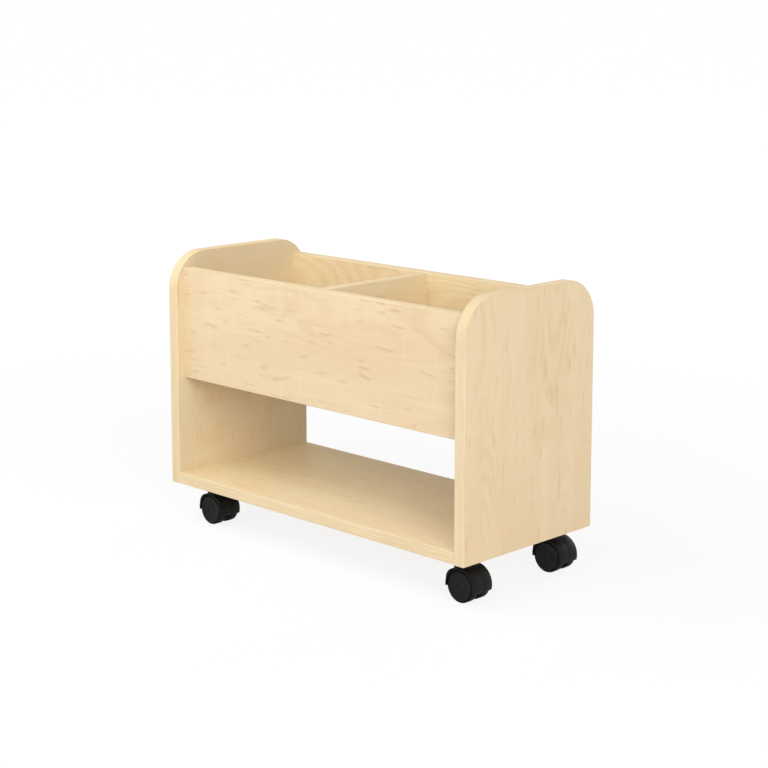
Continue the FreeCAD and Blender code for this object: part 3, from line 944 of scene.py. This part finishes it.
@dataclass
class Caster:
    """One twin-wheel caster with its hood, modelled where a corner's CAD nodes lie.

    Attributes:
        corner: The corner's name, which starts the names of its nodes.
        hood: Details of the hood.
        wheel: Details of the wheels.
        pieces: The finished pieces, each by the part name of the node that it replaces.
    """

    corner: str
    hood: HoodShape = HoodShape()
    wheel: WheelShape = WheelShape()
    pieces: dict[str, Piece] = field(default_factory=dict)

    def box(self, part: str) -> tuple[Vector, Vector]:
        """The corners of one of the caster's nodes."""
        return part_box(f"{self.corner}_{part}")

    def middle(self, part: str) -> Vector:
        """The middle of one of the caster's nodes."""
        return node_middle(f"{self.corner}_{part}")

    def build(self) -> None:
        """Model the hood, the two cores and the two treads."""
        self.build_hood()
        for side in Wheel:
            self.build_wheel(side)

    def build_hood(self) -> None:
        """Model the hood with its web and its neck."""
        low, high = self.box("caster_body")
        axle, shape = self.middle("axle"), self.hood
        radius, half_width = high.x - axle.x, (high.y - low.y) / 2
        rim = radius - shape.crown_mm * MM
        far_side = [(radius, shape.parting_mm / 2 * MM), (radius, half_width / 2),
                    (rim, half_width)]
        near_side = [(ring, -place) for ring, place in reversed(far_side)]
        parting = [(radius - shape.parting_depth_mm * MM, 0.0)]
        piece = Turning(axle, Axis.Y, shape.drum_points).make(
            self.corner + "_hood", near_side + parting + far_side)
        self.add_brow(piece, half_width)
        self.hollow(piece, half_width)
        self.cut_below(piece, radius)
        self.add_neck(piece, high.z)
        self.bore(piece, high.z)
        break_edges(piece, shape.edge_mm, shape.edge_steps)
        smooth(piece)
        self.pieces["caster_body"] = piece

    def add_brow(self, piece: Piece, half_width: float) -> None:
        """Join the brow to the drum: a block with one round edge, above its leading side.

        Args:
            piece: The drum.
            half_width: Half of its width.
        """
        axle, shape = self.middle("axle"), self.hood
        half = half_width - shape.brow_inset_mm * MM
        low = axle - Vector((shape.brow_reach_mm * MM, half, 0.0))
        high = axle + Vector((0.0, half, shape.brow_rise_mm * MM))
        brow = add_piece("brow", bpy.ops.mesh.primitive_cube_add, size=1,
                         location=(low + high) / 2, scale=high - low)
        with editing(brow):
            pick(brow, Element.EDGE, lambda edge: all(
                vert.co.x < low.x + TOUCH and vert.co.z > high.z - TOUCH for vert in edge.verts))
            bpy.ops.mesh.bevel(offset=shape.brow_round_mm * MM, segments=shape.brow_steps)
        combine(piece, brow, Combining.JOIN)

    def hollow(self, piece: Piece, half_width: float) -> None:
        """Sink both ends of the drum down to the web.

        Args:
            piece: The drum.
            half_width: Half of its width.
        """
        axle, shape = self.middle("axle"), self.hood
        depth = half_width - shape.web_mm / 2 * MM
        with editing(piece):
            for side in Wheel:
                end = axle.y + side.value * half_width
                pick(piece, Element.FACE,
                     lambda face, end=end: abs(face.calc_center_median().y - end) < TOUCH)
                bpy.ops.mesh.inset(thickness=shape.wall_mm * MM)
                bpy.ops.mesh.extrude_region_move(
                    TRANSFORM_OT_translate={"value": (0, -side.value * depth, 0)})

    def cut_below(self, piece: Piece, radius: float) -> None:
        """Cut the drum off at its skirt, which falls towards its trailing end, and close it.

        Args:
            piece: The drum.
            radius: Its radius.
        """
        low, high = self.box("caster_body")
        slope = self.hood.skirt_fall_mm * MM / (2 * radius)
        drop = self.middle("axle").z - low.z
        end = high.x - radius + math.sqrt(radius ** 2 - drop ** 2)
        with editing(piece):
            bpy.ops.mesh.select_all(action="SELECT")
            bpy.ops.mesh.bisect(plane_co=(end, 0, low.z), plane_no=(slope, 0, 1), use_fill=True,
                                clear_inner=True)

    def add_neck(self, piece: Piece, top: float) -> None:
        """Join the swivel neck with its collar to the drum.

        Args:
            piece: The drum.
            top: Height of the neck's top.
        """
        shape, pin = self.hood, self.middle("kingpin")
        neck, foot = shape.neck_mm * MM, self.middle("axle").z
        step, tall = shape.collar_step_mm * MM, shape.collar_mm * MM
        profile = [(neck - step, foot), (neck - step, top - tall - step),
                   (neck, top - tall), (neck, top)]
        upright = Turning(Vector((pin.x, pin.y, 0.0)), Axis.Z)
        combine(piece, upright.make("neck", profile), Combining.JOIN)

    def bore(self, piece: Piece, top: float) -> None:
        """Drill the kingpin's bore, and the axle's hole right through the web.

        Args:
            piece: The hood.
            top: Height of the neck's top.
        """
        shape, pin = self.hood, self.middle("kingpin")
        upright = Turning(Vector((pin.x, pin.y, 0.0)), Axis.Z, shape.bore_points)
        across = Turning(self.middle("axle"), Axis.Y, shape.bore_points)
        past_web = shape.web_mm * MM
        for name, line, radius_mm, start, end in (
                ("pin_bore", upright, shape.pin_bore_mm, top - shape.pin_depth_mm * MM,
                 top + shape.drill_start_mm * MM),
                ("axle_bore", across, shape.axle_bore_mm, -past_web, past_web)):
            drill = line.make(name, [(radius_mm * MM, start), (radius_mm * MM, end)])
            combine(piece, drill, Combining.CUT)

    def build_wheel(self, side: Wheel) -> None:
        """Model a wheel's core and its tread.

        Args:
            side: Which of the two wheels.
        """
        name = side.name.lower() + "_wheel"
        low, high = self.box(name + "_core")
        tread_low, tread_high = self.box(name + "_tread")
        axle = self.middle("axle")
        seat, radius = (high.x - low.x) / 2, (tread_high.x - tread_low.x) / 2
        outer, rim_end, hub_end = low.y, tread_high.y, high.y
        if side is Wheel.REAR:
            outer, rim_end, hub_end = high.y, tread_low.y, low.y
        line = Turning(axle, Axis.Y)
        core = line.make(f"{self.corner}_{name}_disc", self.wheel.core_profile(
            seat, outer - axle.y, rim_end - axle.y, hub_end - axle.y, side))
        break_edges(core, self.wheel.edge_mm)
        tread = line.make(f"{self.corner}_{name}_tyre", self.wheel.tread_profile(
            radius, seat, tread_low.y - axle.y, tread_high.y - axle.y), closed=True)
        for part, piece in (("core", core), ("tread", tread)):
            smooth(piece)
            self.pieces[f"{name}_{part}"] = piece

    def copy(self, corner: str) -> Caster:
        """The same caster at another corner.

        Args:
            corner: The other corner's name.

        Returns:
            The copy.
        """
        other = Caster(corner, self.hood, self.wheel)
        shift = other.middle("kingpin") - self.middle("kingpin")
        other.pieces = {part: copy_to(piece, piece.name.replace(self.corner, corner), shift)
                        for part, piece in self.pieces.items()}
        return other

    def fit(self, nodes: Nodes, plastic: Mapping[str, Material],
            metal: Mapping[str, Material]) -> None:
        """Dress the pieces and put each on its body, in its node's stead.

        Args:
            nodes: The frame's nodes.
            plastic: The nylon and the tread material, by the record's slot.
            metal: The metals of the nodes that stay, by the node's part name.
        """
        for part, piece in self.pieces.items():
            slot = "wheel_tread" if part.endswith("tread") else "black_nylon"
            body = "swivel" if part == "caster_body" else part.rsplit("_", 1)[0]
            dress(piece, plastic[slot])
            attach(piece, f"{self.corner}_{body}")
            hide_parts(f"{self.corner}_{part}")
            LOG.info("fitted %s", piece.name)
        for part, material in metal.items():
            dress(nodes[f"{self.corner}_{part}"], material)


@dataclass(frozen=True)
class CasterScrews:
    """The pan-head screws under the caster plates, each with a cross recess.

    Attributes:
        head_mm: Diameter of the head.
        head_height_mm: Its height.
        rim_share: Share of that height that its upright rim takes.
        dome_steps: Number of rings of the dome above the rim.
        shank_mm: Diameter of the shank.
        shank_length_mm: Its length above the head.
        cross_mm: Width over the cross recess.
        slot_mm: Width of each of its slots.
        cross_depth_mm: Its depth.
        taper: What is left of a slot's width and length at the deep end of its cutter.
        pitch_mm: Distance between a plate's screws.
        points: Points on each ring.
    """

    head_mm: float = 7.5
    head_height_mm: float = 2.4
    rim_share: float = 0.35
    dome_steps: int = 7
    shank_mm: float = 3.4
    shank_length_mm: float = 16.0
    cross_mm: float = 4.4
    slot_mm: float = 0.95
    cross_depth_mm: float = 1.5
    taper: float = 0.55
    pitch_mm: float = 31.0
    points: int = 32

    def build(self, corners: Sequence[Vector]) -> Piece:
        """Model one screw, copy it to every hole and join the copies.

        Args:
            corners: The middle of each plate's underside.

        Returns:
            All the screws as one piece.
        """
        half = self.pitch_mm / 2 * MM
        places = [corner + Vector((sx * half, sy * half, 0))
                  for corner in corners for sx in (-1, 1) for sy in (-1, 1)]
        first = self.one(places[0])
        rest = [copy_to(first, "screw", place - places[0]) for place in places[1:]]
        activate(first)
        for screw in rest:
            screw.select_set(True)
        bpy.ops.object.join()
        first.name = "caster_screw_set"
        first.data.name = first.name
        return first

    def one(self, place: Vector) -> Piece:
        """Model one screw with its head below a point.

        Args:
            place: The point of the plate's underside on the screw's line.

        Returns:
            The screw.
        """
        radius, tall, shank = self.head_mm / 2, self.head_height_mm, self.shank_mm / 2
        dome = [(radius * math.cos(turn),
                 -tall * (self.rim_share + (1 - self.rim_share) * math.sin(turn)))
                for turn in quarter_arc(self.dome_steps)[:-1]]
        section = [(shank, self.shank_length_mm), (shank, 0.0), (radius, 0.0)] + dome
        profile = [(ring * MM, along * MM) for ring, along in section]
        screw = Turning(place, Axis.Z, self.points).make("screw", profile)
        head = place - Vector((0, 0, tall * MM))
        for wide, deep in ((self.cross_mm, self.slot_mm), (self.slot_mm, self.cross_mm)):
            cutter = add_piece("slot_cutter", bpy.ops.mesh.primitive_cube_add, size=1,
                               location=head,
                               scale=(wide * MM, deep * MM, 2 * self.cross_depth_mm * MM))
            with editing(cutter):
                pick(cutter, Element.FACE,
                     lambda face: face.calc_center_median().z > head.z + TOUCH)
                bpy.ops.transform.resize(value=(self.taper, self.taper, 1.0),
                                         center_override=head)
            combine(screw, cutter, Combining.CUT)
        smooth(screw)
        return screw


@dataclass(frozen=True)
class RunningGear:
    """The four casters, their screws and their small steel parts.

    Attributes:
        nodes: The frame's nodes.
        corners: The corners' names.
        screws: Details of the screws.
    """

    nodes: Nodes
    corners: Sequence[str] = ("front_right", "front_left", "rear_left", "rear_right")
    screws: CasterScrews = CasterScrews()

    def build(self) -> None:
        """Model one caster, copy it to every corner and fit everything."""
        first = Caster(self.corners[0])
        first.build()
        casters = [first] + [first.copy(corner) for corner in self.corners[1:]]
        plastic = {"black_nylon": NYLON.make(), "wheel_tread": TREAD.make()}
        zinc = ZINC.make()
        metal = {"caster_plate": zinc, "kingpin": zinc, "axle": DRAWN.make()}
        for caster in casters:
            caster.fit(self.nodes, plastic, metal)
        dress(self.nodes["kingpin_rings"], SPRING.make())
        self.build_screws(zinc)

    def build_screws(self, zinc: Material) -> None:
        """Model and fit the screws.

        Args:
            zinc: Their material.
        """
        places = []
        for corner in self.corners:
            plate = corner + "_caster_plate"
            middle, underside = node_middle(plate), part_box(plate)[0].z
            places.append(Vector((middle.x, middle.y, underside)))
        screws = self.screws.build(places)
        dress(screws, zinc)
        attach(screws, "case")
        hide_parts("caster_screws")
        LOG.info("fitted %s", screws.name)


# Studio ----------------------------------------------------------------------------------


@dataclass(frozen=True)
class Lamp:
    """A square soft light that faces the object.

    Attributes:
        name: The lamp's name.
        azimuth: Its direction in degrees, from the front round to the right.
        elevation: Its height above the horizon in degrees.
        power: Its power in watts.
        side: Length of its sides.
        distance: Its distance from the object's middle.
    """

    name: str
    azimuth: float
    elevation: float
    power: float
    side: float = 3.6
    distance: float = 6.0

    def hang(self, aim: Vector) -> None:
        """Add the lamp to the scene.

        Args:
            aim: The point that it faces.
        """
        turn, lift = math.radians(self.azimuth), math.radians(self.elevation)
        away = Vector((math.sin(turn) * math.cos(lift), -math.cos(turn) * math.cos(lift),
                       math.sin(lift)))
        light = bpy.data.lights.new(self.name, "AREA")
        light.size = self.side
        light.energy = self.power
        lamp = bpy.data.objects.new(self.name, light)
        lamp.location = aim + away * self.distance
        lamp.rotation_euler = away.to_track_quat("Z", "Y").to_euler()
        bpy.context.scene.collection.objects.link(lamp)


@dataclass(frozen=True)
class Studio:
    """A white sweep with soft lamps, and the camera.

    Attributes:
        sky: Strength of the white light from all round.
        floor_side: Length of the floor's sides.
        floor_colour: What the floor throws back on the object.
        shadow_share: How much of the floor's own shading the eye sees.
        glow_near: The white that the eye sees on top of that, near the object.
        glow_far: The same far from the lamps, where the shading gives less.
        near: Distance from the middle up to which the first of them holds.
        far: Distance from which the second one holds.
        lamps: The lamps.
        camera_place: Where the camera stands.
        camera_yaw: Its turn to the left of +Y, in degrees.
        camera_pitch: Its tilt below the horizon, in degrees.
        lens_mm: Its focal length.
        sensor_mm: Its sensor's width.
        shift: Its upward shift, as a share of the frame.
    """

    sky: float = 0.30
    floor_side: float = 40.0
    floor_colour: str = "#E6E6E6"
    shadow_share: float = 0.15
    glow_near: float = 0.85
    glow_far: float = 0.955
    near: float = 0.6
    far: float = 3.0
    lamps: Sequence[Lamp] = (
        Lamp("key_above_the_front", -30.0, 58.0, 9.8, side=1.2, distance=1.5),
        Lamp("low_key_in_front", 10.0, 25.0, 60.0),
        Lamp("fill_from_the_right", 62.0, 24.0, 213.0),
        Lamp("rim_from_behind", 180.0, 14.0, 120.0),
        Lamp("fill_from_the_left", -65.0, 25.0, 44.0),
    )
    camera_place: tuple[float, float, float] = (1.9987, -1.9990, 0.8847)
    camera_yaw: float = 44.615
    camera_pitch: float = 9.135
    lens_mm: float = 84.827
    sensor_mm: float = 36.0
    shift: float = -0.1354

    def build(self, aim: Vector) -> None:
        """Set up the camera, the light and the floor.

        Args:
            aim: The middle of the object.
        """
        bpy.context.scene.view_settings.view_transform = "Standard"
        self.place_camera()
        self.light_world()
        for lamp in self.lamps:
            lamp.hang(aim)
        self.lay_floor()

    def place_camera(self) -> None:
        """Add the camera and make it the scene's own."""
        data = bpy.data.cameras.new("camera")
        data.lens = self.lens_mm
        data.sensor_width = self.sensor_mm
        data.shift_y = self.shift
        camera = bpy.data.objects.new("camera", data)
        camera.location = self.camera_place
        camera.rotation_euler = (QUARTER_TURN - math.radians(self.camera_pitch), 0.0,
                                 math.radians(self.camera_yaw))
        bpy.context.scene.collection.objects.link(camera)
        bpy.context.scene.camera = camera

    def seen_share(self, tree: Tree) -> Socket:
        """A share that is 1 for what the eye sees, also in a mirror or through glass.

        Args:
            tree: The tree that gets the nodes.

        Returns:
            The share's socket.
        """
        path = add_node(tree, "LightPath").outputs
        glossy = add_node(tree, "Math", {0: path["Is Camera Ray"], 1: path["Is Glossy Ray"]},
                          operation="MAXIMUM")
        seen = add_node(tree, "Math", {0: glossy.outputs[0], 1: path["Is Transmission Ray"]},
                        operation="MAXIMUM")
        return seen.outputs[0]

    def light_world(self) -> None:
        """Fill the world with even light, and show it as plain white."""
        world = bpy.data.worlds.new("white_sweep")
        world.use_nodes = True
        tree = world.node_tree
        tree.nodes.clear()
        strength = add_node(tree, "MapRange", {"Value": self.seen_share(tree),
                                               "To Min": self.sky, "To Max": 1.0})
        light = add_node(tree, "Background", {"Color": WHITE, "Strength": strength.outputs[0]})
        add_node(tree, "OutputWorld", {"Surface": light.outputs[0]})
        bpy.context.scene.world = world

    def lay_floor(self) -> None:
        """Add the floor, which shows white with the object's soft shadow."""
        floor = add_piece("floor", bpy.ops.mesh.primitive_plane_add, size=self.floor_side)
        material, tree = new_material("matt_white_sweep")
        lit = add_node(tree, "BsdfDiffuse", {"Color": linear(self.floor_colour)})
        tone = [self.shadow_share] * 3 + [1.0]
        shaded = add_node(tree, "BsdfDiffuse", {"Color": tone})
        place = add_node(tree, "TexCoord").outputs["Object"]
        reach = add_node(tree, "VectorMath", {0: place}, operation="LENGTH").outputs["Value"]
        level = add_node(tree, "MapRange", {"Value": reach, "From Min": self.near,
                                            "From Max": self.far, "To Min": self.glow_near,
                                            "To Max": self.glow_far})
        glow = add_node(tree, "Emission", {"Color": WHITE, "Strength": level.outputs[0]})
        shown = add_node(tree, "AddShader", {0: shaded.outputs[0], 1: glow.outputs[0]})
        surface = add_node(tree, "MixShader", {0: self.seen_share(tree), 1: lit.outputs[0],
                                               2: shown.outputs[0]})
        add_node(tree, "OutputMaterial", {"Surface": surface.outputs[0]})
        dress(floor, material)
        floor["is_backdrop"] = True


def main() -> None:
    """Load the frame, dress the case, build the casters and set up the studio."""
    logging.basicConfig(level=logging.INFO, format="%(name)s: %(message)s")
    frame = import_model()
    frame_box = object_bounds()
    Studio().build(sum(frame_box, Vector()) / 2)
    Case(frame["nodes"]).dress()
    RunningGear(frame["nodes"]).build()


if __name__ == "__main__":
    main()
